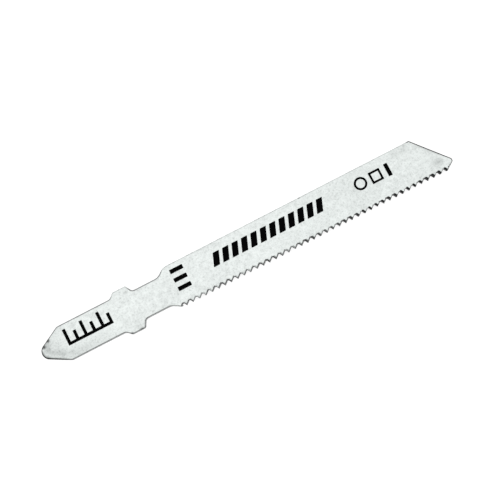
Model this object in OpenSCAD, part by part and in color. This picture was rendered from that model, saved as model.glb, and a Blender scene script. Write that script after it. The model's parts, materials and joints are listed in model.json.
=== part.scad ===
// Jigsaw blade with a T shank, punched from steel strip, with milled teeth pressed into a wave.
// The blade lies flat: +X runs from the shank to the tip, the teeth face -Y, and the strip's
// underside is at Z = 0. The origin is the middle of the two lugs. Sizes are in millimetres.

/* [Strip] */
// Overall length, from the nose of the shank to the tip
blade_l = 76; // [60:0.5:130]
// Thickness of the strip
blade_t = 1; // [0.6:0.05:1.6]

/* [Shank] */
// Distance from the nose of the shank to the middle of the lugs
nose_l = 16.15; // [12:0.05:22]
// Width of the shank
shank_w = 6.2; // [5.4:0.05:7]
// Angle between each flank of the nose and the blade's axis
nose_deg = 29; // [20:1:45]
// Radius of the nose
nose_r = 1.4; // [0.5:0.05:2.2]
// Radius where a flank of the nose meets the shank's side
shank_corner_r = 0.6; // [0.1:0.1:2]

/* [Lugs] */
// Width across both lugs
lug_w = 7.85; // [7.4:0.05:9]
// Length of a lug along its outer edge, before its corners are rounded
lug_l = 2.4; // [1.6:0.1:4]
// Angle between a lug's ramp, on the side of the nose, and the axis
lug_ramp_deg = 42; // [35:1:70]
// Angle between a lug's shoulder, on the side of the neck, and the axis
lug_shoulder_deg = 62; // [50:1:85]
// Radius of a lug's outer corners
lug_corner_r = 0.35; // [0.1:0.05:0.6]
// Radius of the fillet at the foot of a lug's ramp
lug_ramp_r = 0.8; // [0.2:0.1:1.2]
// Radius of the fillet between a lug's shoulder and the neck
lug_neck_r = 0.7; // [0.2:0.1:0.9]

/* [Neck] */
// Width of the neck
neck_w = 5.3; // [4.4:0.05:5.8]
// Distance from the middle of the lugs to where the neck starts to widen
neck_l = 6.7; // [4.5:0.1:10]
// Angle between the back of the flare and the axis
back_flare_deg = 38; // [30:1:60]
// Radius of the two bends of the back flare
back_flare_r = 1.9; // [0.5:0.1:2]
// Angle between the tooth side of the flare and the axis
tooth_flare_deg = 32; // [26:1:50]
// Radius where the neck turns into the tooth side of the flare
tooth_flare_r = 2; // [0.5:0.1:2.5]

/* [Body] */
// Distance from the axis to the straight back edge
back_y = 3.8; // [3.4:0.05:6]
// Width of the body, from its back edge to the tips of the teeth
body_w = 7.5; // [7:0.05:10]
// Angle between the slanted end of the blade and the axis
end_deg = 50; // [40:1:80]
// Angle between the bevel behind the last tooth and the axis
bevel_deg = 34; // [20:1:45]
// Radius of the tip
tip_r = 0.55; // [0.2:0.05:1.2]
// Radius where the slanted end meets the back edge
heel_r = 0.3; // [0.1:0.05:1]

/* [Teeth] */
// Distance from one tooth to the next
pitch = 1.2; // [0.9:0.05:2]
// Distance from the middle of the lugs to the tip of the first tooth
first_tooth_x = 9; // [8:0.05:14]
// Distance from the tip of the last tooth to the end of the blade
last_tooth_gap = 1.65; // [1.5:0.05:4]
// Depth of the gullets, before their floors are rounded
tooth_h = 0.68; // [0.4:0.02:0.8]
// How far a tooth's cutting face leans back from square
rake_deg = 30; // [5:1:35]
// Radius of the gullet floors
gullet_r = 0.22; // [0.08:0.02:0.3]
// Length of the flat behind the tip of the last tooth, before the bevel
last_flat = 0.12; // [0.04:0.02:0.4]

/* [Wavy set] */
// Length of one whole wave of the set
wave_l = 7.74; // [5:0.02:12]
// How far the wave takes the teeth out to each side
wave_a = 0.19; // [0.1:0.01:0.4]
// Distance from the tooth tips to the line where the bend starts
wave_depth = 1.7; // [1.3:0.05:3]
// How far past a crest of the wave the first tooth stands
wave_start_deg = 31; // [0:1:360]

/* [Fineness] */
// Largest angle of one step round a bend of the outline
arc_step = 7; // [4:1:15]
// Largest angle of one step round a gullet floor
gullet_step = 24; // [15:1:45]
// Rows of facets across the bent strip
wave_rows = 4; // [3:1:6]

/* [Hidden] */
steel = [0.83, 0.85, 0.84];

// The nose
nose_x = -nose_l;
apex_x = nose_x - nose_r * (1 / sin(nose_deg) - 1);
flank_x = apex_x + shank_w / 2 / tan(nose_deg);

// The lugs
lug_half = lug_l / 2;
ramp_foot_x = -lug_half - (lug_w - shank_w) / 2 / tan(lug_ramp_deg);
shoulder_foot_x = lug_half + (lug_w - neck_w) / 2 / tan(lug_shoulder_deg);

// The flare and the body
tips_y = back_y - body_w;
back_flare_x = neck_l + (back_y - neck_w / 2) / tan(back_flare_deg);
tooth_flare_x = neck_l + (-neck_w / 2 - tips_y) / tan(tooth_flare_deg);

// The end of the blade, where the bevel and the slanted end cross at a corner that tip_r rounds
end_x = blade_l - nose_l;

// The teeth, counted with a little slack, so that one that ends just on the last place isn't lost
count_slack = 0.001;
tooth_n = 1 + floor((end_x - last_tooth_gap - first_tooth_x) / pitch + count_slack);
last_tooth_x = first_tooth_x + (tooth_n - 1) * pitch;
gullet_y = tips_y + tooth_h;
rake_run = tooth_h * tan(rake_deg);

// The tip: the corner lies so far out that the rounded tip ends at end_x
tip_half = (180 - end_deg - bevel_deg) / 2;
bisector_deg = bevel_deg + tip_half - 90;
tip_corner_x = end_x + tip_r * (cos(bisector_deg) / cos(tip_half) - 1);
bevel_x = last_tooth_x + last_flat;
tip_corner_y = tips_y + (tip_corner_x - bevel_x) * tan(bevel_deg);
heel_x = tip_corner_x - (back_y - tip_corner_y) / tan(end_deg);

// The strip that the wave bends, from the middle of the flare to the middle of the bevel
bend_y = tips_y + wave_depth;
crest_x = (first_tooth_x - pitch + tooth_flare_x) / 2;
bent_x0 = (neck_l + tooth_flare_r * tan(tooth_flare_deg / 2) + tooth_flare_x) / 2;
bent_x1 = (bevel_x + end_x) / 2;
slope_step = 0.001;

function unit(v) = v / norm(v);
function xy(corner) = [corner[0], corner[1]];
function turned(v, a) = [v[0] * cos(a) - v[1] * sin(a), v[0] * sin(a) + v[1] * cos(a)];
function cross_z(u, v) = u[0] * v[1] - u[1] * v[0];
function share(s) = min(max(s, 0), 1);
function smooth(s) = share(s) ^ 2 * (3 - 2 * share(s));

// The points of one corner [x, y, radius] between its neighbours: an arc, or the corner itself
function corner_points(before, corner, after, step) =
    let (
        r = corner[2],
        back = unit(xy(before) - xy(corner)),
        on = unit(xy(after) - xy(corner)),
        half = acos(back * on) / 2,
        start = xy(corner) + back * r / tan(half),
        centre = xy(corner) + unit(back + on) * r / sin(half),
        sweep = (180 - 2 * half) * sign(cross_z(on, back)),
        steps = ceil(abs(sweep) / step)
    )
    r == 0 ? [xy(corner)] : [for (i = [0:steps]) centre + turned(start - centre, sweep * i / steps)];

// A path whose ends stay as they are and whose corners between them are rounded
function rounded(path, step) = [
    xy(path[0]),
    for (i = [1:len(path) - 2]) each corner_points(path[i - 1], path[i], path[i + 1], step),
    xy(path[len(path) - 1])
];

// The punched outline, apart from the strip along the teeth: round the tip, back and shank to the flare
outline_path = [
    [bent_x1, tips_y + (bent_x1 - bevel_x) * tan(bevel_deg), 0],
    [tip_corner_x, tip_corner_y, tip_r],
    [heel_x, back_y, heel_r],
    [back_flare_x, back_y, back_flare_r],
    [neck_l, neck_w / 2, back_flare_r],
    [shoulder_foot_x, neck_w / 2, lug_neck_r],
    [lug_half, lug_w / 2, lug_corner_r],
    [-lug_half, lug_w / 2, lug_corner_r],
    [ramp_foot_x, shank_w / 2, lug_ramp_r],
    [flank_x, shank_w / 2, shank_corner_r],
    [apex_x, 0, nose_r],
    [flank_x, -shank_w / 2, shank_corner_r],
    [ramp_foot_x, -shank_w / 2, lug_ramp_r],
    [-lug_half, -lug_w / 2, lug_corner_r],
    [lug_half, -lug_w / 2, lug_corner_r],
    [shoulder_foot_x, -neck_w / 2, lug_neck_r],
    [neck_l, -neck_w / 2, tooth_flare_r],
    [bent_x0, tips_y + (tooth_flare_x - bent_x0) * tan(tooth_flare_deg), 0]
];

// The edge with the teeth, from the flare to the bevel: each tooth is a gullet and the tip after it
tooth_path = [
    outline_path[len(outline_path) - 1],
    [crest_x, tips_y + (tooth_flare_x - crest_x) * tan(tooth_flare_deg), 0],
    for (i = [0:tooth_n - 1]) each [
        [first_tooth_x + i * pitch - rake_run, gullet_y, gullet_r],
        [first_tooth_x + i * pitch, tips_y, 0]
    ],
    [bevel_x, tips_y, 0],
    outline_path[0]
];

// The bend from its line to the tips has the form of a bar that is held at one end and pushed at the other
function bend(s) = share(s) ^ 2 * (3 - share(s)) / 2;

// How far the wave lifts the middle of the strip at a place: not at all at the bend line and the strip's ends
function lift(x, y) =
    wave_a
    * cos(360 * (x - first_tooth_x) / wave_l + wave_start_deg)
    * bend((bend_y - y) / wave_depth)
    * smooth((x - bent_x0) / (first_tooth_x - bent_x0))
    * smooth((bent_x1 - x) / (bent_x1 - last_tooth_x));

// A point of the lower (-1) or upper (1) face, half the thickness from the middle and square to it
function bent_point(x, y, side) =
    let (
        slope_x = (lift(x + slope_step, y) - lift(x - slope_step, y)) / (2 * slope_step),
        slope_y = (lift(x, y + slope_step) - lift(x, y - slope_step)) / (2 * slope_step)
    )
    [x, y, blade_t / 2 + lift(x, y)] + side * blade_t / 2 * unit([-slope_x, -slope_y, 1]);

module flat_blank() {
    linear_extrude(blade_t)
        polygon([
            each rounded(outline_path, arc_step),
            [bent_x0, bend_y],
            [bent_x1, bend_y]
        ]);
}

// The toothed strip as a closed skin of rows between the bend line and the edge with the teeth
module toothed_strip() {
    edge = rounded(tooth_path, gullet_step);
    n = len(edge);
    ring = wave_rows + 1;
    points = [
        for (side = [-1, 1]) for (i = [0:n - 1]) for (j = [0:wave_rows])
            let (
                x = edge[i][0],
                y = bend_y + (edge[i][1] - bend_y) * j / wave_rows,
                joins_blank = j == 0 || i == 0 || i == n - 1
            )
            joins_blank ? [x, y, blade_t * (1 + side) / 2] : bent_point(x, y, side)
    ];
    low = function (i, j) i * ring + j;
    high = function (i, j) (n + i) * ring + j;
    faces = [
        for (i = [0:n - 2]) for (j = [0:wave_rows - 1]) each [
            [low(i, j), low(i + 1, j + 1), low(i + 1, j)],
            [low(i, j), low(i, j + 1), low(i + 1, j + 1)],
            [high(i, j), high(i + 1, j), high(i + 1, j + 1)],
            [high(i, j), high(i + 1, j + 1), high(i, j + 1)]
        ],
        for (i = [0:n - 2]) each [
            [low(i, 0), high(i + 1, 0), high(i, 0)],
            [low(i, 0), low(i + 1, 0), high(i + 1, 0)],
            [low(i, wave_rows), high(i + 1, wave_rows), low(i + 1, wave_rows)],
            [low(i, wave_rows), high(i, wave_rows), high(i + 1, wave_rows)]
        ],
        for (j = [0:wave_rows - 1]) each [
            [low(0, j), high(0, j + 1), low(0, j + 1)],
            [low(0, j), high(0, j), high(0, j + 1)],
            [low(n - 1, j), high(n - 1, j + 1), high(n - 1, j)],
            [low(n - 1, j), low(n - 1, j + 1), high(n - 1, j + 1)]
        ]
    ];
    polyhedron(points, faces);
}

module blade() {
    color(steel)
        union() {
            flat_blank();
            toothed_strip();
        }
}

blade();
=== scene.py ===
"""Looks of a jigsaw blade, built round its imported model: tumbled bright steel, milled wavy teeth and black ink."""

import json
import logging
import math
from collections.abc import Callable
from dataclasses import dataclass, field
from enum import Enum

import bmesh
import bpy
from mathutils import Matrix, Vector


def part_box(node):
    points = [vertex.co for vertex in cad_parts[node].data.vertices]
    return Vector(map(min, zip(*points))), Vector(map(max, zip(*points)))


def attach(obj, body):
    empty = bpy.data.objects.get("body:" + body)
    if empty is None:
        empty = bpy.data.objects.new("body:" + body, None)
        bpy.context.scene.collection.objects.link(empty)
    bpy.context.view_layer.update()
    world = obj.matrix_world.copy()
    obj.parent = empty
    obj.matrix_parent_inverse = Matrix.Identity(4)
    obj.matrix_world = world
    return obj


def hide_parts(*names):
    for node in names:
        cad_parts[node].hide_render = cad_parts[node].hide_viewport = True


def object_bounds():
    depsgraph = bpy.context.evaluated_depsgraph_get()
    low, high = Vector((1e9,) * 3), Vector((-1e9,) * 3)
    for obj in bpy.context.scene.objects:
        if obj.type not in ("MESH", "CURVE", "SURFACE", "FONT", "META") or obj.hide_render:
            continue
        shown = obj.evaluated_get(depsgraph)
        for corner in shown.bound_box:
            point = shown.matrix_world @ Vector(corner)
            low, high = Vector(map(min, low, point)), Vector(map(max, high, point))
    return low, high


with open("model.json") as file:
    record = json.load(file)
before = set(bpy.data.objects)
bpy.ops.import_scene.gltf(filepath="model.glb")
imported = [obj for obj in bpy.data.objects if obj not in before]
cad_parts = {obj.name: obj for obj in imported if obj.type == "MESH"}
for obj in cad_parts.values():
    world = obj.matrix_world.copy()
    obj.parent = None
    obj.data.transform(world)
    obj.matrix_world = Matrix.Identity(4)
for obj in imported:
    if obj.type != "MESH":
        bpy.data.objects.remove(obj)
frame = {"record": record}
cad_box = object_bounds()

MM = 0.001
BODY = "root"
TINY = 0.001
LOG = logging.getLogger("jigsaw_blade")

Colour = tuple[float, float, float]
Place = tuple[float, float]
Test = Callable[[bmesh.types.BMVert | bmesh.types.BMEdge | bmesh.types.BMFace], bool]


def share(value: float) -> float:
    """Returns the value, held between 0 and 1."""
    return min(max(value, 0.0), 1.0)


def smooth(value: float) -> float:
    """Returns a share that starts and ends level."""
    return share(value) ** 2 * (3 - 2 * share(value))


class Kind(Enum):
    """What a pick in edit mode selects."""

    POINTS = "VERT"
    EDGES = "EDGE"
    FACES = "FACE"


class Zone(Enum):
    """The surfaces of the blade, in the order of its material slots."""

    FACE = 0
    PUNCHED = 1
    MILLED = 2
    RAKED = 3
    EASED = 4


class Bench:
    """Work on one flat mesh in edit mode, in millimetres, with each selection made in code."""

    def __init__(self, name: str, size: Place, centre: Place, height: float = 0.0) -> None:
        """Lays out a rectangle of sheet and goes into edit mode.

        Args:
            name: The piece's name.
            size: The rectangle's length along X and its width along Y.
            centre: The middle of the rectangle.
            height: How high it lies.
        """
        bpy.ops.object.select_all(action="DESELECT")
        bpy.ops.mesh.primitive_plane_add(size=1, location=(*centre, height))
        self.piece = bpy.context.object
        self.piece.name = name
        self.piece.scale = (*size, 1)
        bpy.ops.object.transform_apply(location=True, rotation=True, scale=True)
        self.edit()

    def edit(self) -> None:
        """Goes into edit mode."""
        bpy.ops.object.mode_set(mode="EDIT")

    def leave(self) -> None:
        """Goes back to object mode."""
        bpy.ops.object.mode_set(mode="OBJECT")

    @property
    def mesh(self) -> bmesh.types.BMesh:
        """The mesh as it stands in edit mode."""
        return bmesh.from_edit_mesh(self.piece.data)

    def pick(self, kind: Kind, test: Test) -> int:
        """Selects the points, edges or faces that pass a test, and nothing else.

        Args:
            kind: What is selected.
            test: Says whether one of them belongs.

        Returns:
            How many were selected.
        """
        bpy.ops.mesh.select_mode(type=kind.value)
        bpy.ops.mesh.select_all(action="DESELECT")
        mesh = self.mesh
        rows = {Kind.POINTS: mesh.verts, Kind.EDGES: mesh.edges, Kind.FACES: mesh.faces}[kind]
        picked = [part for part in rows if test(part)]
        for part in picked:
            part.select_set(True)
        mesh.select_flush_mode()
        bmesh.update_edit_mesh(self.piece.data)
        return len(picked)

    def pick_point(self, place: Place) -> None:
        """Selects the point at a place.

        Args:
            place: Where it lies, seen from above.
        """
        self.pick(Kind.POINTS, lambda point: (point.co.xy - Vector(place)).length < TINY)

    def cut(self, place: Place, normal: Place, trim: bool = False) -> None:
        """Cuts the selected faces along an upright plane.

        Args:
            place: A point of the plane, seen from above.
            normal: The direction square to it.
            trim: Whether what lies beyond the plane is removed.
        """
        bpy.ops.mesh.bisect(
            plane_co=(*place, 0), plane_no=(*normal, 0), clear_outer=trim, threshold=TINY / 10
        )

    def slide(self, dx: float, dy: float, dz: float = 0.0) -> None:
        """Moves the selection.

        Args:
            dx: How far along X.
            dy: How far along Y.
            dz: How far along Z.
        """
        bpy.ops.transform.translate(value=(dx, dy, dz))

    def round_corner(self, radius: float, half: float, steps: int) -> None:
        """Rounds the selected corners.

        Args:
            radius: The radius that the corner gets.
            half: Half of the angle between the corner's two sides, in radians.
            steps: How many straight steps the arc has.
        """
        bpy.ops.mesh.bevel(
            offset_type="OFFSET", offset=radius / math.tan(half), segments=steps, affect="VERTICES"
        )

    def apply(self, kind: str, **settings: object) -> None:
        """Adds a modifier to the piece and applies it.

        Args:
            kind: The modifier's type.
            settings: What is set on it.
        """
        modifier = self.piece.modifiers.new(kind.lower(), kind)
        for name, value in settings.items():
            setattr(modifier, name, value)
        bpy.ops.object.modifier_apply(modifier=modifier.name)

    def fit(self, slot: str) -> bpy.types.Object:
        """Brings the finished piece to metres at the origin and lets it ride on the part.

        Args:
            slot: The record's material slot of the piece; not used.

        Returns:
            The piece.
        """
        self.piece.scale = (MM, MM, MM)
        bpy.ops.object.transform_apply(location=True, rotation=True, scale=True)
        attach(self.piece, BODY)
        return self.piece


@dataclass(frozen=True)
class Corner:
    """A corner of the punched outline, with the radius that rounds it."""

    x: float
    y: float
    radius: float = 0.0

    @property
    def place(self) -> Vector:
        """Where the corner lies before it is rounded."""
        return Vector((self.x, self.y))


class Pen:
    """Draws an outline from a point of a flat mesh: straight runs by extrusion and arcs by spin."""

    def __init__(self, bench: Bench, start: Place, step: float) -> None:
        """Sets the pen down.

        Args:
            bench: The mesh that is drawn on.
            start: A point that the mesh has already.
            step: The largest angle of one step of an arc, in degrees.
        """
        self.bench = bench
        self.here = Vector(start)
        self.step = step
        bench.pick_point(start)

    def line_to(self, place: Vector) -> None:
        """Draws a straight run.

        Args:
            place: Where it ends.
        """
        run = place - self.here
        bpy.ops.mesh.extrude_vertices_move(TRANSFORM_OT_translate={"value": (run.x, run.y, 0)})
        self.here = place

    def round_to(self, corner: Corner, following: Vector) -> None:
        """Draws a run up to a corner and the arc that rounds it.

        Args:
            corner: The corner.
            following: Where the outline goes on to.
        """
        back = (self.here - corner.place).normalized()
        on = (following - corner.place).normalized()
        half = back.angle(on) / 2
        reach = corner.radius / math.tan(half)
        self.line_to(corner.place + back * reach)
        if corner.radius:
            centre = corner.place + (back + on).normalized() * corner.radius / math.sin(half)
            turn = (math.pi - 2 * half) * math.copysign(1, back.cross(on))
            bpy.ops.mesh.spin(
                steps=math.ceil(abs(math.degrees(turn)) / self.step),
                angle=turn,
                center=(*centre, 0),
                axis=(0, 0, 1),
                dupli=False,
                use_auto_merge=False,
            )
            self.here = corner.place + on * reach

    def draw(self, corners: list[Corner], end: Place) -> None:
        """Draws round all the corners to the end.

        Args:
            corners: The corners in their order.
            end: Where the outline ends.
        """
        places = [corner.place for corner in corners[1:]] + [Vector(end)]
        for corner, following in zip(corners, places):
            self.round_to(corner, following)
        self.line_to(Vector(end))


@dataclass
class SteelBlade:
    """The one piece of steel: punched outline, milled teeth and the wave they are pressed into.

    Lengths are in millimetres and angles in degrees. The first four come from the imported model.
    """

    nose_x: float
    end_x: float
    lug_w: float
    thickness: float
    shank_w: float = 6.2
    nose_deg: float = 29
    nose_r: float = 1.4
    shank_corner_r: float = 0.6
    lug_l: float = 2.4
    lug_ramp_deg: float = 42
    lug_shoulder_deg: float = 62
    lug_corner_r: float = 0.35
    lug_ramp_r: float = 0.8
    lug_neck_r: float = 0.7
    neck_w: float = 5.3
    neck_l: float = 6.7
    back_flare_deg: float = 38
    back_flare_r: float = 1.9
    tooth_flare_deg: float = 32
    tooth_flare_r: float = 2.0
    back_y: float = 3.8
    body_w: float = 7.5
    end_deg: float = 50
    bevel_deg: float = 34
    tip_r: float = 0.55
    heel_r: float = 0.3
    teeth: int = 42
    pitch: float = 1.2
    first_tooth_x: float = 9.0
    tooth_h: float = 0.68
    rake_deg: float = 30
    gullet_r: float = 0.22
    last_flat: float = 0.12
    wave_l: float = 7.74
    wave_a: float = 0.19
    wave_depth: float = 1.7
    wave_start_deg: float = 31
    rim_ease: float = 0.2
    tooth_ease: float = 0.09
    shortest: float = 0.02
    raked: float = -0.1
    arc_step: float = 6.0
    gullet_steps: int = 6
    tip_steps: int = 8
    ease_steps: int = 3
    wave_rows: int = 8
    columns_a_tooth: int = 4
    level_row: float = 0.25
    crease_deg: float = 35
    name: str = "steel_blade"
    node: str = "blade"
    tips_y: float = field(init=False)
    gullet_y: float = field(init=False)
    rake_run: float = field(init=False)
    last_tooth_x: float = field(init=False)
    bend_y: float = field(init=False)
    bent_x: Place = field(init=False)

    def __post_init__(self) -> None:
        """Works out the lines that the teeth and their wave are set out from."""
        self.tips_y = self.back_y - self.body_w
        self.gullet_y = self.tips_y + self.tooth_h
        self.rake_run = self.tooth_h * math.tan(math.radians(self.rake_deg))
        self.last_tooth_x = self.first_tooth_x + (self.teeth - 1) * self.pitch
        self.bend_y = self.tips_y + self.wave_depth
        flare_start = self.neck_l + self.tooth_flare_r * math.tan(math.radians(self.tooth_flare_deg) / 2)
        self.bent_x = ((flare_start + self.tooth_flare_x) / 2, (self.bevel_x + self.end_x) / 2)

    @classmethod
    def from_frame(cls) -> "SteelBlade":
        """Takes the blade's length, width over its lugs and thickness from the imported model.

        Returns:
            The blade, not built yet.
        """
        low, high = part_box("blade")
        mounts = {mount["name"]: mount for mount in frame["record"]["mounts"]}
        thickness = mounts["shank_top"]["pos_m"][2] - mounts["shank_underside"]["pos_m"][2]
        return cls(low.x / MM, high.x / MM, (high.y - low.y) / MM, thickness / MM)

    @property
    def tooth_flare_x(self) -> float:
        """Where the tooth side of the flare would meet the line of the tips."""
        return self.neck_l + (-self.neck_w / 2 - self.tips_y) / math.tan(math.radians(self.tooth_flare_deg))

    @property
    def bevel_x(self) -> float:
        """Where the bevel behind the last tooth starts."""
        return self.last_tooth_x + self.last_flat

    @property
    def crest(self) -> Corner:
        """The corner between the flare and the first gullet."""
        x = (self.first_tooth_x - self.pitch + self.tooth_flare_x) / 2
        return Corner(x, self.tips_y + (self.tooth_flare_x - x) * math.tan(math.radians(self.tooth_flare_deg)))

    @property
    def tip_half(self) -> float:
        """Half of the angle between the slanted end and the bevel, in radians."""
        return math.radians(self.end_deg + self.bevel_deg) / 2

    @property
    def tip(self) -> Corner:
        """The corner of the tip, so far out that its rounding ends at the blade's end."""
        bisector = math.radians(self.bevel_deg) - self.tip_half
        x = self.end_x + self.tip_r * (math.cos(bisector) / math.sin(self.tip_half) - 1)
        return Corner(x, self.tips_y + (x - self.bevel_x) * math.tan(math.radians(self.bevel_deg)), self.tip_r)

    @property
    def heel(self) -> Corner:
        """The corner between the slanted end and the back edge."""
        x = self.tip.x - (self.back_y - self.tip.y) / math.tan(math.radians(self.end_deg))
        return Corner(x, self.back_y, self.heel_r)

    def shank_corners(self) -> list[Corner]:
        """Lists the corners round the shank, from the back edge to the first gullet.

        Returns:
            The corners in the order in which the pen meets them.
        """
        apex_x = self.nose_x - self.nose_r * (1 / math.sin(math.radians(self.nose_deg)) - 1)
        flank_x = apex_x + self.shank_w / 2 / math.tan(math.radians(self.nose_deg))
        ramp_x = -self.lug_l / 2 - (self.lug_w - self.shank_w) / 2 / math.tan(math.radians(self.lug_ramp_deg))
        foot_x = self.lug_l / 2 + (self.lug_w - self.neck_w) / 2 / math.tan(math.radians(self.lug_shoulder_deg))
        flare_x = self.neck_l + (self.back_y - self.neck_w / 2) / math.tan(math.radians(self.back_flare_deg))
        half_shank = [
            Corner(foot_x, self.neck_w / 2, self.lug_neck_r),
            Corner(self.lug_l / 2, self.lug_w / 2, self.lug_corner_r),
            Corner(-self.lug_l / 2, self.lug_w / 2, self.lug_corner_r),
            Corner(ramp_x, self.shank_w / 2, self.lug_ramp_r),
            Corner(flank_x, self.shank_w / 2, self.shank_corner_r),
        ]
        return [
            Corner(flare_x, self.back_y, self.back_flare_r),
            Corner(self.neck_l, self.neck_w / 2, self.back_flare_r),
            *half_shank,
            Corner(apex_x, 0, self.nose_r),
            *[Corner(corner.x, -corner.y, corner.radius) for corner in reversed(half_shank)],
            Corner(self.neck_l, -self.neck_w / 2, self.tooth_flare_r),
            self.crest,
            Corner(self.first_tooth_x - self.rake_run, self.gullet_y, self.gullet_r),
        ]

    def lift(self, x: float, y: float) -> float:
        """Says how far the wave lifts the strip at a place.

        Args:
            x: The place along the blade.
            y: The place across it.

        Returns:
            The lift as a share of the wave's height, from -1 to 1.
        """
        turn = math.tau * (x - self.first_tooth_x) / self.wave_l + math.radians(self.wave_start_deg)
        down = share((self.bend_y - y) / self.wave_depth)
        starts = smooth((x - self.bent_x[0]) / (self.first_tooth_x - self.bent_x[0]))
        ends = smooth((self.bent_x[1] - x) / (self.bent_x[1] - self.last_tooth_x))
        return math.cos(turn) * down**2 * (3 - down) / 2 * starts * ends

    def rows(self) -> list[float]:
        """Lists the lines along the blade at which the bent strip is divided.

        Returns:
            Their places across the blade, from the flat side to the tips.
        """
        bent = [self.bend_y - self.wave_depth * i / self.wave_rows for i in range(self.wave_rows)]
        return [self.bend_y + self.level_row, *bent]

    def build(self) -> bpy.types.Object:
        """Models the blade and puts it in the place of its solid.

        Returns:
            The finished piece.
        """
        bench = self.mill_teeth()
        self.trim_tip(bench)
        self.draw_shank(bench)
        self.level_flat(bench)
        self.press_wave(bench)
        self.thicken(bench)
        self.ease_edges(bench)
        piece = bench.fit("steel")
        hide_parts(self.node)
        return piece

    def mill_teeth(self) -> Bench:
        """Models one tooth's width of the body and repeats it along the blade.

        Returns:
            The bench with the toothed body, in edit mode.
        """
        left, right = self.first_tooth_x, self.first_tooth_x + self.pitch
        middle = (left + right) / 2
        bench = Bench(self.name, (self.pitch, self.body_w), (middle, (self.back_y + self.tips_y) / 2))
        bench.pick(Kind.EDGES, lambda edge: all(point.co.y < self.tips_y + TINY for point in edge.verts))
        bpy.ops.mesh.subdivide(number_cuts=1)
        bench.pick_point((middle, self.tips_y))
        bench.slide(right - self.rake_run - middle, self.tooth_h)
        flank = Vector((self.rake_run - self.pitch, -self.tooth_h))
        rake = Vector((self.rake_run, -self.tooth_h))
        bench.pick_point((right - self.rake_run, self.gullet_y))
        bench.round_corner(self.gullet_r, flank.angle(rake) / 2, self.gullet_steps)
        for y in self.rows():
            bench.pick(Kind.FACES, lambda face: True)
            bench.cut((0, y), (0, 1))
        for i in range(1, self.columns_a_tooth):
            bench.pick(Kind.FACES, lambda face: face.calc_center_median().y < self.bend_y + self.level_row)
            bench.cut((left + self.pitch * i / self.columns_a_tooth, 0), (1, 0))
        bench.leave()
        bench.apply(
            "ARRAY",
            count=self.teeth - 1,
            use_relative_offset=False,
            use_constant_offset=True,
            constant_offset_displace=(self.pitch, 0, 0),
            use_merge_vertices=True,
            merge_threshold=TINY,
        )
        bench.edit()
        return bench

    def trim_tip(self, bench: Bench) -> None:
        """Draws the body out behind the last tooth and cuts the slanted end and the bevel.

        Args:
            bench: The toothed body.
        """
        end, bevel = math.radians(self.end_deg), math.radians(self.bevel_deg)
        spare = self.end_x - self.last_tooth_x + self.pitch
        bench.pick(Kind.EDGES, lambda edge: all(point.co.x > self.last_tooth_x - TINY for point in edge.verts))
        bpy.ops.mesh.extrude_region_move(TRANSFORM_OT_translate={"value": (spare, 0, 0)})
        bench.pick(Kind.FACES, lambda face: face.calc_center_median().x > self.heel.x - self.pitch)
        bench.cut(self.tip.place, (math.sin(end), math.cos(end)), trim=True)
        bench.pick(Kind.FACES, lambda face: face.calc_center_median().x > self.last_tooth_x)
        bench.cut((self.bevel_x, self.tips_y), (math.sin(bevel), -math.cos(bevel)), trim=True)
        step = (self.bent_x[1] - self.last_tooth_x) / (self.columns_a_tooth - 1)
        for i in range(1, self.columns_a_tooth):
            bench.pick(Kind.FACES, lambda face: self.is_bent(face) and face.calc_center_median().x > self.last_tooth_x)
            bench.cut((self.last_tooth_x + step * i, 0), (1, 0))

    def draw_shank(self, bench: Bench) -> None:
        """Draws the outline round the shank, fills it and divides its bent strip.

        Args:
            bench: The toothed body.
        """
        Pen(bench, (self.first_tooth_x, self.back_y), self.arc_step).draw(
            self.shank_corners(), (self.first_tooth_x, self.tips_y)
        )
        bpy.ops.mesh.select_all(action="SELECT")
        bpy.ops.mesh.remove_doubles(threshold=TINY)
        bench.pick(
            Kind.EDGES,
            lambda edge: not edge.is_manifold and all(point.co.x < self.first_tooth_x + TINY for point in edge.verts),
        )
        bpy.ops.mesh.edge_face_add()
        start = self.bent_x[0]
        bench.pick(Kind.FACES, lambda face: face.calc_center_median().x < self.first_tooth_x)
        bench.cut((start, 0), (1, 0))
        for y in self.rows():
            bench.pick(Kind.FACES, lambda face: all(start - TINY < point.co.x for point in face.verts))
            bench.cut((0, y), (0, 1))
        step = (self.first_tooth_x - start) / self.columns_a_tooth
        for i in range(1, self.columns_a_tooth):
            bench.pick(Kind.FACES, lambda face: self.is_bent(face) and face.calc_center_median().x < self.first_tooth_x)
            bench.cut((start + step * i, 0), (1, 0))

    def is_bent(self, face: bmesh.types.BMFace) -> bool:
        """Says whether a face lies in the strip that the wave bends, or in the level row beside it."""
        middle = face.calc_center_median()
        return middle.y < self.bend_y + self.level_row and min(point.co.x for point in face.verts) > self.bent_x[0] - TINY

    def level_flat(self, bench: Bench) -> None:
        """Makes the flat part one face and rounds the tip and the heel.

        Args:
            bench: The whole outline.
        """
        bench.pick(
            Kind.FACES,
            lambda face: not self.is_bent(face) or face.calc_center_median().x > self.bent_x[1],
        )
        bpy.ops.mesh.dissolve_faces()
        bench.pick(Kind.POINTS, self.is_idle)
        bpy.ops.mesh.dissolve_verts()
        bpy.ops.mesh.select_all(action="SELECT")
        bpy.ops.mesh.remove_doubles(threshold=self.shortest)
        bench.pick_point(tuple(self.tip.place))
        bench.round_corner(self.tip.radius, self.tip_half, self.tip_steps)
        bench.pick_point(tuple(self.heel.place))
        bench.round_corner(self.heel.radius, math.radians(180 - self.end_deg) / 2, self.tip_steps)

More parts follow.
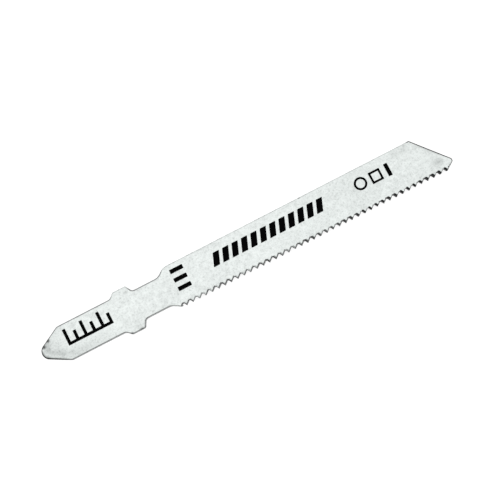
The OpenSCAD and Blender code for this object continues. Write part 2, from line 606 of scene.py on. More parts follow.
    def is_idle(self, point: bmesh.types.BMVert) -> bool:
        """Says whether a point only divides a straight run of the back edge, the end or the bevel."""
        ends = (self.tip.place, self.heel.place)
        straight = point.co.y > self.back_y - TINY or point.co.x > self.bent_x[1] + TINY
        inside = point.co.x > self.first_tooth_x - TINY and len(point.link_edges) == 2
        return straight and inside and all((point.co.xy - end).length > TINY for end in ends)

    def press_wave(self, bench: Bench) -> None:
        """Presses the toothed edge into its wave, to both sides.

        Args:
            bench: The whole outline, still flat.
        """
        bench.leave()
        for side, label in ((1, "set_up"), (-1, "set_down")):
            group = bench.piece.vertex_groups.new(name=label)
            for point in bench.piece.data.vertices:
                weight = side * self.lift(point.co.x, point.co.y)
                if weight > 0:
                    group.add([point.index], weight, "REPLACE")
            bench.apply(
                "DISPLACE", direction="Z", mid_level=0.0, strength=side * self.wave_a, vertex_group=label
            )
        bench.piece.vertex_groups.clear()

    def thicken(self, bench: Bench) -> None:
        """Gives the strip its thickness, with its underside on the plane of the origin.

        Args:
            bench: The bent sheet, in object mode.
        """
        bench.apply("SOLIDIFY", thickness=self.thickness, offset=0.0, use_even_offset=True)
        for _ in Zone:
            bench.piece.data.materials.append(None)
        bench.edit()
        bpy.ops.mesh.select_all(action="SELECT")
        bench.slide(0, 0, self.thickness / 2)
        self.mark_zone(bench, Zone.PUNCHED, lambda face: not self.is_level(face))
        self.mark_zone(bench, Zone.MILLED, lambda face: not self.is_level(face) and self.is_milled(face))

    def is_level(self, face: bmesh.types.BMFace) -> bool:
        """Says whether a face belongs to one of the strip's two broad sides."""
        return abs(face.normal.z) > math.cos(math.radians(45))

    def is_milled(self, part: bmesh.types.BMFace | bmesh.types.BMEdge) -> bool:
        """Says whether all of a wall or an edge lies along the teeth, which the wave moves a little."""
        slack = self.thickness / 10
        return all(
            point.co.y < self.bend_y and self.crest.x - slack < point.co.x < self.bevel_x + slack
            for point in part.verts
        )

    def mark_zone(self, bench: Bench, zone: Zone, test: Test) -> None:
        """Gives some faces the material slot of a zone.

        Args:
            bench: The solid blade, in edit mode.
            zone: The zone.
            test: Says whether a face belongs to it.
        """
        bench.pick(Kind.FACES, test)
        bench.piece.active_material_index = zone.value
        bpy.ops.object.material_slot_assign()

    def ease_edges(self, bench: Bench) -> None:
        """Rounds the edges of the strip as tumbling leaves them, and less along the teeth.

        Args:
            bench: The solid blade, in edit mode.
        """

        def is_rim(edge: bmesh.types.BMEdge) -> bool:
            """Says whether an edge parts a broad side from a wall."""
            return len({self.is_level(face) for face in edge.link_faces}) == 2

        bench.pick(Kind.EDGES, is_rim)
        bpy.ops.transform.edge_bevelweight(value=1.0)
        bench.pick(Kind.EDGES, lambda edge: is_rim(edge) and self.is_milled(edge))
        bpy.ops.transform.edge_bevelweight(value=self.tooth_ease / self.rim_ease - 1)
        bench.leave()
        bpy.ops.object.shade_smooth_by_angle(angle=math.radians(self.crease_deg))
        bench.apply(
            "BEVEL",
            limit_method="WEIGHT",
            width=self.rim_ease,
            segments=self.ease_steps,
            use_clamp_overlap=False,
            harden_normals=True,
            material=Zone.EASED.value,
        )
        bench.edit()
        self.mark_zone(
            bench, Zone.MILLED, lambda face: face.material_index == Zone.EASED.value and self.is_milled(face)
        )
        self.mark_zone(
            bench, Zone.RAKED, lambda face: face.material_index == Zone.MILLED.value and face.normal.x < self.raked
        )
        bench.leave()


class Graph:
    """A material's node tree, with short methods for the nodes that the finishes use."""

    def __init__(self, name: str) -> None:
        """Starts a material.

        Args:
            name: The material's name.
        """
        self.material = bpy.data.materials.new(name)
        self.material.use_nodes = True
        self.tree = self.material.node_tree
        self.shader = self.tree.nodes["Principled BSDF"]

    def node(self, kind: str, **settings: object) -> bpy.types.Node:
        """Adds a node.

        Args:
            kind: The node's type.
            settings: What is set on it.

        Returns:
            The node.
        """
        made = self.tree.nodes.new(kind)
        for name, value in settings.items():
            setattr(made, name, value)
        return made

    def feed(self, socket: bpy.types.NodeSocket, value: object) -> None:
        """Gives an input a value, or links another node's output to it.

        Args:
            socket: The input.
            value: The value or the output.
        """
        if isinstance(value, bpy.types.NodeSocket):
            self.tree.links.new(value, socket)
        else:
            socket.default_value = value

    def place(self, stretch: tuple[float, float, float] = (1, 1, 1), turn_deg: float = 0.0) -> bpy.types.NodeSocket:
        """Gives the object's own coordinates in millimetres.

        Args:
            stretch: How much longer a pattern on them becomes along each axis.
            turn_deg: How far the pattern is turned round Z.

        Returns:
            The coordinates.
        """
        mapping = self.node("ShaderNodeMapping", vector_type="TEXTURE")
        self.feed(mapping.inputs["Vector"], self.node("ShaderNodeTexCoord").outputs["Object"])
        mapping.inputs["Rotation"].default_value = (0, 0, math.radians(turn_deg))
        mapping.inputs["Scale"].default_value = [MM * factor for factor in stretch]
        return mapping.outputs["Vector"]

    def noise(
        self, size: float, detail: float, place: bpy.types.NodeSocket | None = None, rough: float = 0.5
    ) -> bpy.types.NodeSocket:
        """Adds a noise pattern.

        Args:
            size: The size of its blotches in millimetres.
            detail: How many finer layers it has.
            place: The coordinates, or the plain ones.
            rough: How strong the finer layers are.

        Returns:
            Its value, from 0 to 1.
        """
        made = self.node("ShaderNodeTexNoise")
        self.feed(made.inputs["Vector"], place or self.place())
        made.inputs["Scale"].default_value = 1 / size
        made.inputs["Detail"].default_value = detail
        made.inputs["Roughness"].default_value = rough
        return made.outputs["Fac"]

    def spread(
        self, value: bpy.types.NodeSocket, low: float, high: float, to_low: float = 0.0, to_high: float = 1.0
    ) -> bpy.types.NodeSocket:
        """Maps a range of a value onto another, with soft ends.

        Args:
            value: The value.
            low: Where the range starts.
            high: Where it ends.
            to_low: What its start becomes.
            to_high: What its end becomes.

        Returns:
            The new value.
        """
        made = self.node("ShaderNodeMapRange", interpolation_type="SMOOTHSTEP")
        for name, given in zip(("Value", "From Min", "From Max", "To Min", "To Max"), (value, low, high, to_low, to_high)):
            self.feed(made.inputs[name], given)
        return made.outputs["Result"]

    def sum(self, operation: str, *values: object) -> bpy.types.NodeSocket:
        """Joins values by one kind of sum, from left to right.

        Args:
            operation: The kind of sum, such as ADD.
            values: Numbers or outputs.

        Returns:
            The result.
        """
        total = values[0]
        for value in values[1:]:
            made = self.node("ShaderNodeMath", operation=operation)
            self.feed(made.inputs[0], total)
            self.feed(made.inputs[1], value)
            total = made.outputs["Value"]
        return total

    def tint(self, factor: object, first: object, second: object) -> bpy.types.NodeSocket:
        """Mixes two colours.

        Args:
            factor: How much of the second there is.
            first: A colour or an output.
            second: A colour or an output.

        Returns:
            The mixed colour.
        """
        made = self.node("ShaderNodeMix", data_type="RGBA")
        self.feed(made.inputs["Factor"], factor)
        for socket, colour in zip(made.inputs[6:8], (first, second)):
            self.feed(socket, (*colour, 1) if isinstance(colour, tuple) else colour)
        return made.outputs[2]

    def bump(self, height: object, depth: float) -> None:
        """Gives the surface a relief.

        Args:
            height: The relief's pattern.
            depth: How deep it is, in millimetres.
        """
        made = self.node("ShaderNodeBump")
        self.feed(made.inputs["Height"], height)
        made.inputs["Distance"].default_value = depth * MM
        self.feed(self.shader.inputs["Normal"], made.outputs["Normal"])


@dataclass(frozen=True)
class DarkPlace:
    """A darker place on the steel: where it is, how far it reaches each way, how dark it is and its turn."""

    x: float
    y: float
    reach_x: float
    reach_y: float
    depth: float
    turn_deg: float = 0.0


# Darker places on the face. The first four are painted shade round the nose: over its end and inside both flanks. The
# others darken the lower shank, the lug, the body broadly and the tip, and spots near the edges.
PATCHES_AND_NOSE_SHADE = (
    DarkPlace(-14.0, -0.4, 2.4, 2.2, 0.12),
    DarkPlace(-14.75, 0.4, 0.7, 1.5, 0.24, -35.0),
    DarkPlace(-13.4, -1.1, 3.2, 0.8, 0.22, -27.0),
    DarkPlace(-13.2, 1.85, 3.4, 0.9, 0.08, 29.0),
    DarkPlace(-9.0, -2.4, 6.5, 1.6, 0.16),
    DarkPlace(0.0, -3.0, 2.6, 1.3, 0.05),
    DarkPlace(50.0, 0.0, 30.0, 14.0, 0.045),
    DarkPlace(57.4, -1.75, 1.3, 0.9, 0.26),
    DarkPlace(51.5, 2.7, 2.6, 0.8, 0.08),
    DarkPlace(53.4, 2.9, 1.0, 0.9, 0.1),
    DarkPlace(54.6, -3.4, 3.6, 0.6, 0.12),
    DarkPlace(3.0, 2.2, 0.9, 0.3, 0.14),
    DarkPlace(15.5, 3.6, 1.6, 0.3, 0.18),
)

# Small dark nicks and spots along the edges, and painted shade: the dark lines at the nose's point, along its lower
# side and along the slanted end.
NICKS_AND_EDGE_SHADE = (
    DarkPlace(-15.31, 0.98, 0.52, 0.52, 1.0),
    DarkPlace(-14.29, 1.62, 0.52, 0.52, 1.0),
    DarkPlace(-14.8, 1.3, 0.34, 0.34, 0.3),
    DarkPlace(-16.1, 0.0, 0.5, 1.4, 0.8),
    DarkPlace(-15.7, -1.0, 1.2, 0.74, 0.85, -50.0),
    DarkPlace(-14.2, -1.95, 2.6, 0.6, 0.7, -29.0),
    DarkPlace(57.2, 0.95, 4.6, 0.5, 0.5, -50.0),
    DarkPlace(0.81, 2.88, 0.5, 0.4, 0.3),
    DarkPlace(1.9, 1.95, 0.8, 0.3, 0.1, -15.0),
    DarkPlace(0.55, -3.75, 0.55, 0.3, 0.6),
    DarkPlace(-1.2, -3.75, 0.4, 0.35, 0.8),
    DarkPlace(8.45, -3.45, 0.5, 0.3, 0.8),
    DarkPlace(33.9, 3.7, 0.4, 0.22, 0.5),
    DarkPlace(53.7, 3.43, 0.42, 0.32, 0.24),
)


def darken_places(graph: Graph, stains: tuple[DarkPlace, ...], ragged: float) -> bpy.types.NodeSocket:
    """Adds up darker places with ragged edges.

    Args:
        graph: The material that they are made in.
        stains: The places.
        ragged: How far their edges wander, as a share of their reach.

    Returns:
        How dark a place is, from 0 to 1.
    """
    wander = graph.spread(graph.noise(0.9, 3), 0.2, 0.8, -ragged, ragged)
    total: object = 0.0
    for stain in stains:
        away = graph.node("ShaderNodeVectorMath", operation="DISTANCE")
        graph.feed(away.inputs[0], graph.place((stain.reach_x, stain.reach_y, 1e6), stain.turn_deg))
        centre = Matrix.Rotation(-math.radians(stain.turn_deg), 2) @ Vector((stain.x, stain.y))
        away.inputs[1].default_value = (centre.x / stain.reach_x, centre.y / stain.reach_y, 0)
        edge = graph.sum("ADD", away.outputs["Value"], wander)
        total = graph.sum("ADD", total, graph.spread(edge, 0.0, 1.1, stain.depth, 0.0))
    return total


@dataclass(frozen=True)
class TumbledSteel:
    """The broad sides: hardened strip, tumbled to a pale satin, with faint blotches, scuffs, darker patches and nicks,
    and painted shade along the teeth, round the nose, along the nose's lower side and along the slanted end.
    """

    blade: SteelBlade
    colour: Colour = (0.935, 0.98, 0.962)
    shade: Colour = (0.2, 0.215, 0.21)
    # Near black, for the painted shade along the teeth.
    shade_black: Colour = (0.003, 0.0031, 0.0031)
    # Dark colour for nicks, and for the painted shade at the nose's point, along its lower side and along the slanted
    # end.
    nick_and_shade_dark: Colour = (0.06, 0.062, 0.061)
    roughness: tuple[float, float] = (0.34, 0.42)
    scuff_turns: tuple[float, ...] = (24.0, -38.0, 71.0)
    # Where the painted shade along the teeth lies: the rake band's strength, width and spread along the blade, and the
    # flank line's strength and width.
    rake_shade: float = 1.0
    rake_shade_w: tuple[float, float] = (0.25, 0.4)
    tooth_shade_x: tuple[float, float, float] = (14.0, 46.0, 58.6)
    flank_shade: float = 0.8
    edge_w: tuple[float, float] = (0.08, 0.22)

    def scuffs(self, graph: Graph) -> bpy.types.NodeSocket:
        """Makes short scratches in a few directions.

        Args:
            graph: The material that they are made in.

        Returns:
            How scratched a place is, from 0 to 1.
        """
        layers = []
        for turn in self.scuff_turns:
            lines = graph.noise(1.0, 2, graph.place(stretch=(3.2, 0.06, 1), turn_deg=turn))
            here = graph.noise(2.6, 1, graph.place(stretch=(1, 1, 1), turn_deg=turn + 90))
            layers.append(graph.sum("MULTIPLY", graph.spread(lines, 0.62, 0.72), graph.spread(here, 0.45, 0.6)))
        return graph.sum("MAXIMUM", *layers)

    def painted_tooth_shade(self, graph: Graph) -> bpy.types.NodeSocket:
        """Paints shade along the teeth: a narrow band beside each rake, stronger towards the tip, and a line along the
        flanks that fades out well before the tip.

        Args:
            graph: The material that they are made in.

        Returns:
            How dark a place is, from 0 to 1.
        """
        blade = self.blade
        parts = graph.node("ShaderNodeSeparateXYZ")
        graph.feed(parts.inputs["Vector"], graph.place())
        above = graph.sum("SUBTRACT", parts.outputs["Y"], blade.tips_y)
        run = graph.sum("MULTIPLY", above, math.tan(math.radians(blade.rake_deg)))
        along = graph.sum("ADD", parts.outputs["X"], -blade.first_tooth_x, run)
        tooth = graph.node("ShaderNodeMath", operation="FRACT")
        graph.feed(tooth.inputs[0], graph.sum("DIVIDE", along, blade.pitch))
        away = graph.sum("MULTIPLY", tooth.outputs["Value"], blade.pitch)
        near = graph.spread(away, *self.rake_shade_w, 1.0, 0.0)
        low = graph.spread(above, blade.tooth_h - self.edge_w[0], blade.tooth_h + self.edge_w[0], 1.0, 0.0)
        reach = graph.spread(parts.outputs["X"], *self.tooth_shade_x[:2], 0.3, 1.0)
        rakes = graph.sum("MULTIPLY", near, low, reach, self.rake_shade)
        slope = graph.sum("MULTIPLY", away, blade.tooth_h / blade.pitch)
        edge = graph.spread(graph.sum("SUBTRACT", above, slope), *self.edge_w, 1.0, 0.0)
        shade_rise = graph.spread(parts.outputs["X"], blade.first_tooth_x, self.tooth_shade_x[0], 0.3, 1.0)
        paler_shade = graph.spread(parts.outputs["X"], self.tooth_shade_x[1] - 22, self.tooth_shade_x[1] - 3, self.flank_shade, 0.0)
        flanks = graph.sum("MULTIPLY", edge, shade_rise, paler_shade)
        starts = graph.spread(parts.outputs["X"], blade.first_tooth_x - self.rake_shade_w[1], blade.first_tooth_x)
        ends = graph.spread(parts.outputs["X"], self.tooth_shade_x[2] - self.rake_shade_w[1], self.tooth_shade_x[2], 1.0, 0.0)
        return graph.sum("MULTIPLY", graph.sum("MAXIMUM", rakes, flanks), starts, ends)

    def material(self) -> bpy.types.Material:
        """Makes the material.

        Returns:
            The material.
        """
        graph = Graph("tumbled_steel")
        graph.shader.inputs["Metallic"].default_value = 1.0
        blotches = graph.spread(graph.noise(0.9, 6, rough=0.78), 0.33, 0.72, 0.0, 0.24)
        specks = graph.spread(graph.noise(0.32, 3, rough=0.7), 0.45, 0.75, 0.0, 0.24)
        clouds = graph.spread(graph.noise(5.0, 2), 0.3, 0.7, 0.0, 0.05)
        scuffs = self.scuffs(graph)
        # Darker places, among them painted shade round the nose, and scuffs.
        marks = graph.sum("ADD", darken_places(graph, PATCHES_AND_NOSE_SHADE, 0.4), graph.sum("MULTIPLY", scuffs, 0.14))
        dark = graph.sum("ADD", blotches, specks, clouds, marks)
        # Painted shade along the teeth, in near black.
        colour = graph.tint(self.painted_tooth_shade(graph), graph.tint(dark, self.colour, self.shade), self.shade_black)
        # Nicks, and painted shade at the nose's point, along its lower side and along the slanted end.
        colour = graph.tint(darken_places(graph, NICKS_AND_EDGE_SHADE, 0.1), colour, self.nick_and_shade_dark)
        graph.feed(graph.shader.inputs["Base Color"], colour)
        grain = graph.noise(0.09, 3)
        rough = graph.sum("ADD", graph.spread(grain, 0.3, 0.7, *self.roughness), graph.sum("MULTIPLY", dark, 0.2))
        graph.feed(graph.shader.inputs["Roughness"], rough)
        relief = graph.sum("SUBTRACT", graph.sum("ADD", grain, graph.noise(0.5, 2)), scuffs)
        graph.bump(relief, 0.0016)
        return graph.material


@dataclass(frozen=True)
class PunchedSteel:
    """The punched walls: a bright sheared band at the top and a duller torn one below it, both kept dark as painted
    shade along the outline.
    """

    # The two bands are real; their dark level is painted shade along the outline.
    sheared_shade: Colour = (0.36, 0.37, 0.37)
    torn_shade: Colour = (0.2, 0.205, 0.205)
    band_z: float = 0.55

    def material(self) -> bpy.types.Material:
        """Makes the material.

        Returns:
            The material.
        """
        graph = Graph("punched_steel")
        graph.shader.inputs["Metallic"].default_value = 1.0
        parts = graph.node("ShaderNodeSeparateXYZ")
        graph.feed(parts.inputs["Vector"], graph.place())
        wander = graph.spread(graph.noise(0.8, 3, graph.place(stretch=(1, 1, 100))), 0.2, 0.8, -0.12, 0.12)
        height = graph.sum("ADD", parts.outputs["Z"], wander)
        band = graph.spread(height, self.band_z - 0.05, self.band_z + 0.05)
        streaks = graph.noise(0.05, 2, graph.place(stretch=(1, 1, 40)))
        grain = graph.noise(0.07, 4)
        colour = graph.tint(band, self.torn_shade, self.sheared_shade)
        graph.feed(graph.shader.inputs["Base Color"], graph.tint(graph.spread(streaks, 0.35, 0.7, 0, 0.35), colour, self.torn_shade))
        graph.feed(graph.shader.inputs["Roughness"], graph.spread(band, 0.0, 1.0, 0.55, 0.3))
        graph.bump(graph.tint(band, grain, streaks), 0.006)
        return graph.material


@dataclass(frozen=True)
class MilledSteel:
    """The walls of the teeth, with the cutter's lines through the thickness; their dark colours are painted shade, near
    black on the rakes.
    """

    name: str = "milled_wall_painted_shade"
    # Both colours are painted shade: the darker for the wall, the paler on the cutter's lines.
    colour: Colour = (0.07, 0.072, 0.0715)
    paler_shade: Colour = (0.17, 0.175, 0.173)
    metal: float = 1.0
    gloss: float = 0.5

    def material(self) -> bpy.types.Material:
        """Makes the material.

        Returns:
            The material.
        """
        graph = Graph(self.name)
        graph.shader.inputs["Metallic"].default_value = self.metal
        graph.shader.inputs["Specular IOR Level"].default_value = self.gloss
        lines = graph.noise(0.045, 2, graph.place(stretch=(1, 1, 60)))
        graph.feed(graph.shader.inputs["Base Color"], graph.tint(graph.spread(lines, 0.5, 0.8), self.colour, self.paler_shade))
        graph.feed(graph.shader.inputs["Roughness"], graph.spread(lines, 0.3, 0.7, 0.42, 0.32))
        graph.bump(lines, 0.004)
        return graph.material


@dataclass(frozen=True)
class EasedSteel:
    """The rounded edges, in painted light: a painted highlight along the strip's back edge and painted shade on the
    others, deeper on the upper side than on the lower, darkest at the nose's front and lower side, along the slanted
    end and at nicks.
    """

    # The colours are painted light: a paler one for the back edge as painted highlight, and painted shade for the upper
    # and lower edges, the nose, the slanted end and nicks.
    back: Colour = (0.66, 0.69, 0.68)
    upper_edge_shade: Colour = (0.27, 0.278, 0.276)
    torn_shade: Colour = (0.34, 0.35, 0.347)
    nose: Colour = (0.03, 0.031, 0.031)
    sheared_shade: Colour = (0.035, 0.036, 0.036)
    back_y: float = 3.6
    nose_x: float = -12.5
    front_x: float = -15.2
    end_from: Place = (54.84, 3.8)
    end_deg: float = 50.0
    fade: float = 0.6

    def material(self) -> bpy.types.Material:
        """Makes the material.

        Returns:
            The material.
        """
        graph = Graph("eased_edge_painted_light")
        graph.shader.inputs["Metallic"].default_value = 1.0
        parts = graph.node("ShaderNodeSeparateXYZ")
        graph.feed(parts.inputs["Vector"], graph.place())
        past_y = graph.spread(parts.outputs["Y"], self.back_y - self.fade, self.back_y)
        end = math.radians(self.end_deg)
        reach = self.end_from[0] * math.sin(end) + self.end_from[1] * math.cos(end)
        out = graph.sum(
            "ADD",
            graph.sum("MULTIPLY", parts.outputs["X"], math.sin(end)),
            graph.sum("MULTIPLY", parts.outputs["Y"], math.cos(end)),
        )
        at_end = graph.spread(out, reach - self.fade, reach - self.fade / 2)
        nicks = graph.noise(0.5, 4)
        teeth_side = graph.spread(parts.outputs["Y"], -self.fade, self.fade, 1.0, 0.0)
        past_nose = graph.spread(parts.outputs["X"], self.nose_x - 2 * self.fade, self.nose_x + 2 * self.fade)
        in_front = graph.spread(parts.outputs["X"], self.front_x - self.fade, self.front_x + self.fade, 0.8, 0.0)
        # Painted shade by place: darker on the upper edges than the lower, near black at the nose's lower side and
        # front; then the back edge's painted highlight and the slanted end's near-black painted shade.
        colour = graph.tint(teeth_side, self.upper_edge_shade, graph.tint(past_nose, self.nose, self.torn_shade))
        colour = graph.tint(in_front, colour, self.nose)
        colour = graph.tint(past_y, colour, self.back)
        colour = graph.tint(at_end, colour, self.sheared_shade)
        colour = graph.tint(graph.spread(nicks, 0.45, 0.75, 0.0, 0.4), colour, self.sheared_shade)
        # Nicks, and painted shade at the nose's point, along its lower side and along the slanted end.
        colour = graph.tint(darken_places(graph, NICKS_AND_EDGE_SHADE, 0.1), colour, self.nose)
        graph.feed(graph.shader.inputs["Base Color"], colour)
        graph.feed(graph.shader.inputs["Roughness"], graph.spread(nicks, 0.3, 0.7, 0.3, 0.42))
        graph.bump(graph.noise(0.08, 3), 0.002)
        return graph.material


@dataclass(frozen=True)
class BlackInk:
    """Thin matt black ink, with pinholes where the steel's grain shows through."""

    colour: Colour = (0.0008, 0.0008, 0.0009)
    thin: Colour = (0.0035, 0.0035, 0.0038)
    gloss: float = 0.02

    def material(self) -> bpy.types.Material:
        """Makes the material.

        Returns:
            The material.
        """
        graph = Graph("black_ink")
        graph.shader.inputs["Specular IOR Level"].default_value = self.gloss
        film = graph.noise(0.35, 4, rough=0.6)
        graph.feed(graph.shader.inputs["Base Color"], graph.tint(graph.spread(film, 0.55, 0.75), self.colour, self.thin))
        graph.feed(graph.shader.inputs["Roughness"], graph.spread(film, 0.3, 0.7, 0.6, 0.5))
        graph.bump(graph.noise(0.06, 2), 0.001)
        return graph.material


@dataclass
class InkMarks:
    """The print on the top face: a plain scale, bars, slanted stripes and simple shapes, all generic."""

    top: float
    film: float = 0.014
    sunk: float = 0.004
    corner_r: float = 0.08
    corner_steps: int = 3

    def sheet(self, name: str, low: Place, high: Place) -> Bench:
        """Lays out a rectangle of ink on the steel.

        Args:
            name: The piece's name.
            low: Its lower left corner.
            high: Its upper right corner.

        Returns:
            The bench with the rectangle, in edit mode.
        """
        size = (high[0] - low[0], high[1] - low[1])
        centre = ((low[0] + high[0]) / 2, (low[1] + high[1]) / 2)
        return Bench(name, size, centre, self.top - self.sunk)

    def soften(self, bench: Bench) -> None:
        """Rounds the corners of a flat mark as ink flows.

        Args:
            bench: The mark, in edit mode.
        """
        bpy.ops.mesh.select_mode(type="VERT")
        bpy.ops.mesh.select_all(action="SELECT")
        bench.round_corner(self.corner_r, math.radians(45), self.corner_steps)

    def finish(self, bench: Bench) -> bpy.types.Object:
        """Gives a mark its film of ink.

        Args:
            bench: The flat mark, in edit mode.

        Returns:
            The finished piece.
        """
        bpy.ops.mesh.select_all(action="SELECT")
        bpy.ops.mesh.remove_doubles(threshold=TINY)
        bench.pick(Kind.FACES, lambda face: face.normal.z < 0)
        bpy.ops.mesh.flip_normals()
        bench.leave()
        bench.apply("SOLIDIFY", thickness=self.film, offset=1.0)
        return bench.fit("print")

    def scale(self) -> bpy.types.Object:
        """Draws the scale on the shank: a base line with upright ticks.

        Returns:
            The finished piece.
        """
        left, right, base, line, tick, reach, ticks = -11.45, -3.15, -0.75, 0.52, 0.56, 2.4, 6
        gap = (right - left - ticks * tick) / (ticks - 1)
        bench = self.sheet("shank_scale", (left, base), (right, base + line))
        for i in range(1, ticks):
            for x in (left + i * (tick + gap) - gap, left + i * (tick + gap)):
                bench.pick(Kind.FACES, lambda face: True)
                bench.cut((x, 0), (1, 0))
        for i in range(ticks):
            middle = left + i * (tick + gap) + tick / 2
            bench.pick(
                Kind.EDGES,
                lambda edge: all(abs(p.co.x - middle) < tick and p.co.y > base + line - TINY for p in edge.verts),
            )
            height = reach if i % 2 == 0 else reach * 0.62
            bpy.ops.mesh.extrude_region_move(TRANSFORM_OT_translate={"value": (0, height, 0)})
        return self.finish(bench)

    def bars(self) -> bpy.types.Object:
        """Draws three short bars, one above the other, at the start of the body.

        Returns:
            The finished piece.
        """
        low, high, count = (8.9, -1.1), (11.3, -0.35), 3
        bench = self.sheet("body_bars", low, high)
        self.soften(bench)
        bench.leave()
        bench.apply(
            "ARRAY", count=count, use_relative_offset=False, use_constant_offset=True,
            constant_offset_displace=(0, 1.6, 0),
        )
        bench.edit()
        return self.finish(bench)

    def stripes(self) -> bpy.types.Object:
        """Draws a band of slanted stripes along the middle of the body.

        Returns:
            The finished piece.
        """
        left, low, high, width, step, slant, count = 15.85, -0.2, 2.1, 1.15, 1.77, 0.9, 12
        bench = self.sheet("body_stripes", (left, low), (left + width, high))
        bench.pick(Kind.POINTS, lambda point: point.co.y > high - TINY)
        bench.slide(slant, 0)
        self.soften(bench)
        bench.leave()
        bench.apply(
            "ARRAY", count=count, use_relative_offset=False, use_constant_offset=True,
            constant_offset_displace=(step, 0, 0),
        )
        bench.edit()
        return self.finish(bench)

    def ring(self) -> bpy.types.Object:
        """Draws a round ring near the tip.

        Returns:
            The finished piece.
        """
        centre, outer, stroke, sides = (44.2, 1.05), 1.15, 0.38, 48
        bpy.ops.object.select_all(action="DESELECT")
        bench = self.sheet("tip_ring", (centre[0] - outer, centre[1] - outer), (centre[0] + outer, centre[1] + outer))
        bpy.ops.mesh.select_all(action="SELECT")
        bpy.ops.mesh.select_mode(type="VERT")
        bench.round_corner(outer - TINY * 2, math.radians(45), sides // 4)
        self.hollow(bench, stroke)
        return self.finish(bench)

    def square(self) -> bpy.types.Object:
        """Draws a square outline near the tip.

        Returns:
            The finished piece.
        """
        low, high, stroke = (46.05, -0.05), (48.15, 2.05), 0.38
        bench = self.sheet("tip_square", low, high)
        self.soften(bench)
        self.hollow(bench, stroke)
        return self.finish(bench)

    def dash(self) -> bpy.types.Object:
        """Draws an upright bar near the tip.

        Returns:
            The finished piece.
        """
        bench = self.sheet("tip_bar", (49.05, -0.1), (49.75, 2.2))
        self.soften(bench)
        return self.finish(bench)

    def hollow(self, bench: Bench, stroke: float) -> None:
        """Leaves only a line of ink along a mark's edge.

        Args:
            bench: The flat mark, in edit mode.
            stroke: The line's width.
        """
        bpy.ops.mesh.select_mode(type="FACE")
        bpy.ops.mesh.select_all(action="SELECT")
        bpy.ops.mesh.inset(thickness=stroke)
        bpy.ops.mesh.delete(type="FACE")

    def build(self) -> list[bpy.types.Object]:
        """Makes all the marks.

        Returns:
            The finished pieces.
        """
        return [self.scale(), self.bars(), self.stripes(), self.ring(), self.square(), self.dash()]


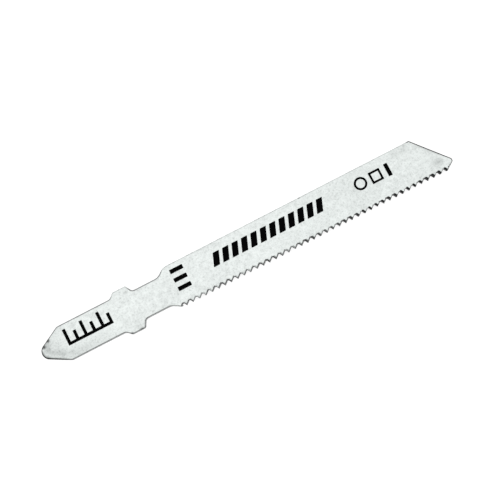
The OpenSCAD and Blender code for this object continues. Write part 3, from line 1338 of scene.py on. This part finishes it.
@dataclass(frozen=True)
class Studio:
    """The pale floor, the soft light and the camera, in millimetres."""

    floor_z: float
    camera: tuple[float, float, float] = (16.857, -20.0, 162.374)
    target: tuple[float, float, float] = (22.528, -0.367, 1.0)
    up: tuple[float, float, float] = (0.45812, 0.88031, 0.1232)
    lens: float = 70.0
    floor_size: float = 60000.0
    floor_grey: float = 0.5
    floor_glow: float = 0.75
    lit_side: Place = (-0.55, 0.835)
    sky_top: float = 1.02
    sky_lit: float = 0.95
    sky_dim: float = 0.1

    def white_rays(self, tree: bpy.types.NodeTree) -> bpy.types.NodeSocket:
        """Says for which rays the background is white: those to the camera, and gloss and glass.

        Args:
            tree: The node tree that asks.

        Returns:
            1 for those rays and 0 for others.
        """
        path = tree.nodes.new("ShaderNodeLightPath")
        total = path.outputs["Is Camera Ray"]
        for name in ("Is Glossy Ray", "Is Transmission Ray"):
            largest = tree.nodes.new("ShaderNodeMath")
            largest.operation = "MAXIMUM"
            tree.links.new(total, largest.inputs[0])
            tree.links.new(path.outputs[name], largest.inputs[1])
            total = largest.outputs["Value"]
        return total

    def lay_floor(self) -> None:
        """Lays the floor, which is white to the camera and keeps the blade's shadow."""
        bpy.ops.object.select_all(action="DESELECT")
        bpy.ops.mesh.primitive_plane_add(size=self.floor_size * MM, location=(0, 0, self.floor_z * MM))
        floor = bpy.context.object
        floor.name = "floor"
        material = bpy.data.materials.new("pale_floor")
        material.use_nodes = True
        tree = material.node_tree
        shader = tree.nodes["Principled BSDF"]
        shader.inputs["Base Color"].default_value = (self.floor_grey,) * 3 + (1,)
        shader.inputs["Roughness"].default_value = 1.0
        shader.inputs["Specular IOR Level"].default_value = 0.0
        glow = tree.nodes.new("ShaderNodeEmission")
        strength = tree.nodes.new("ShaderNodeMath")
        strength.operation = "MULTIPLY"
        strength.inputs[1].default_value = self.floor_glow
        tree.links.new(self.white_rays(tree), strength.inputs[0])
        tree.links.new(strength.outputs["Value"], glow.inputs["Strength"])
        both = tree.nodes.new("ShaderNodeAddShader")
        tree.links.new(shader.outputs["BSDF"], both.inputs[0])
        tree.links.new(glow.outputs["Emission"], both.inputs[1])
        tree.links.new(both.outputs["Shader"], tree.nodes["Material Output"].inputs["Surface"])
        floor.data.materials.append(material)

    def light_sky(self) -> None:
        """Makes a soft dome of light, bright above and, low down, only on the lit side."""
        world = bpy.data.worlds.new("soft_dome")
        bpy.context.scene.world = world
        world.use_nodes = True
        tree = world.node_tree
        direction = tree.nodes.new("ShaderNodeTexCoord").outputs["Generated"]
        parts = tree.nodes.new("ShaderNodeSeparateXYZ")
        tree.links.new(direction, parts.inputs["Vector"])
        side = tree.nodes.new("ShaderNodeVectorMath")
        side.operation = "DOT_PRODUCT"
        tree.links.new(direction, side.inputs[0])
        side.inputs[1].default_value = (*self.lit_side, 0)
        low = tree.nodes.new("ShaderNodeMapRange")
        low.interpolation_type = "SMOOTHSTEP"
        tree.links.new(side.outputs["Value"], low.inputs["Value"])
        for name, value in (("From Min", -0.9), ("From Max", 0.9), ("To Min", self.sky_dim), ("To Max", self.sky_lit)):
            low.inputs[name].default_value = value
        dome = tree.nodes.new("ShaderNodeMapRange")
        dome.interpolation_type = "SMOOTHSTEP"
        tree.links.new(parts.outputs["Z"], dome.inputs["Value"])
        tree.links.new(low.outputs["Result"], dome.inputs["To Min"])
        for name, value in (("From Min", 0.0), ("From Max", 0.8), ("To Max", self.sky_top)):
            dome.inputs[name].default_value = value
        tree.links.new(dome.outputs["Result"], tree.nodes["Background"].inputs["Strength"])
        tree.nodes["Background"].inputs["Color"].default_value = (1, 1, 1, 1)

    def set_camera(self) -> None:
        """Sets up the camera at the photograph's place, looking down on the blade."""
        data = bpy.data.cameras.new("camera")
        data.lens = self.lens
        data.clip_start = 0.01
        data.clip_end = 100.0
        camera = bpy.data.objects.new("camera", data)
        bpy.context.scene.collection.objects.link(camera)
        place = Vector(self.camera) * MM
        back = (place - Vector(self.target) * MM).normalized()
        right = Vector(self.up).cross(back).normalized()
        turned = Matrix((right, back.cross(right), back)).transposed()
        camera.matrix_world = Matrix.Translation(place) @ turned.to_4x4()
        bpy.context.scene.camera = camera

    def build(self) -> None:
        """Sets up the whole studio."""
        self.lay_floor()
        self.light_sky()
        self.set_camera()
        bpy.context.scene.view_settings.view_transform = "Standard"


def main() -> None:
    """Builds the blade, its print and the studio, and reports each piece."""
    logging.basicConfig(level=logging.INFO, format="%(name)s: %(message)s")
    blade = SteelBlade.from_frame()
    steel = blade.build()
    finishes = {
        Zone.FACE: TumbledSteel(blade),
        Zone.PUNCHED: PunchedSteel(),
        Zone.MILLED: MilledSteel(),
        # The rakes get a near-black, matt, non-metal painted shade.
        Zone.RAKED: MilledSteel("rake_wall_painted_shade", (0.003, 0.0031, 0.0031), (0.012, 0.0125, 0.0125), 0.0, 0.05),
        Zone.EASED: EasedSteel(),
    }
    for zone, finish in finishes.items():
        steel.data.materials[zone.value] = finish.material()
    marks = InkMarks(top=blade.thickness).build()
    ink = BlackInk().material()
    for mark in marks:
        mark.data.materials.append(ink)
    for piece in (steel, *marks):
        LOG.info("%s has %d faces", piece.name, len(piece.data.polygons))
    Studio(floor_z=cad_box[0].z / MM).build()


if __name__ == "__main__":
    main()
